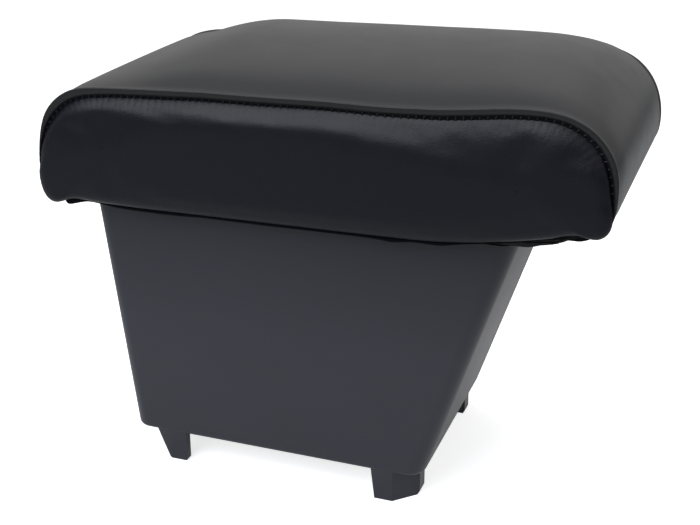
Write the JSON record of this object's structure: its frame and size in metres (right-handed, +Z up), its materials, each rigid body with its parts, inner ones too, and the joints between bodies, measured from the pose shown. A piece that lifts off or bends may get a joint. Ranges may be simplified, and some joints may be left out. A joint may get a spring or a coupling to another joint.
{
  "type": "car centre armrest",
  "caption": "Padded leatherette armrest lid hinged on a tapered black plastic storage box with short locating feet, for the console between the front seats.",
  "frame": {"origin": "on the floor under the middle of the padded lid, level with the bottoms of the feet", "axes": "+X to the front of the car along the lid, +Y to the car's left, +Z up"},
  "size_m": [0.2931, 0.1524, 0.2304],
  "materials": {
    "box_plastic": "black moulded plastic, satin",
    "felt": "needled felt",
    "zinc_steel": "zinc plated",
    "rivet_metal": "plain",
    "catch_plastic": "black moulded plastic",
    "magnet_black": "ferrite",
    "screw_steel": "zinc plated",
    "black_screw": "black phosphate",
    "plywood": "sanded birch plywood",
    "foam": "cut polyurethane foam",
    "leatherette": "black grained leatherette, satin",
    "felt_board": "felt on hardboard",
    "buffer_rubber": "soft rubber"
  },
  "bodies": {
    "box": {"storage_box": "box_plastic", "floor_mat": "felt", "hinge_leaf_box": "zinc_steel", "hinge_rivets": "rivet_metal", "hinge_pin": "zinc_steel", "catch_housing": "catch_plastic", "catch_magnet": "magnet_black", "catch_pole_plates": "zinc_steel", "catch_screws": "screw_steel"},
    "lid": {"lid_board": "plywood", "foam_pad": "foam", "top_cover": "leatherette", "right_side_cover": "leatherette", "left_side_cover": "leatherette", "cover_staples": "screw_steel", "lid_liner": "felt_board", "liner_screws": "black_screw", "lid_buffers": "buffer_rubber", "hinge_leaf_lid": "zinc_steel", "hinge_lid_screws": "screw_steel", "strike_plate": "zinc_steel", "strike_screws": "screw_steel"}
  },
  "joints": [
    {"name": "lid_hinge", "type": "hinge", "parent": "box", "child": "lid", "pos_m": [-0.12528, 0, 0.15115], "axis": [0, -1, 0], "range_deg": [0, 100]}
  ]
}
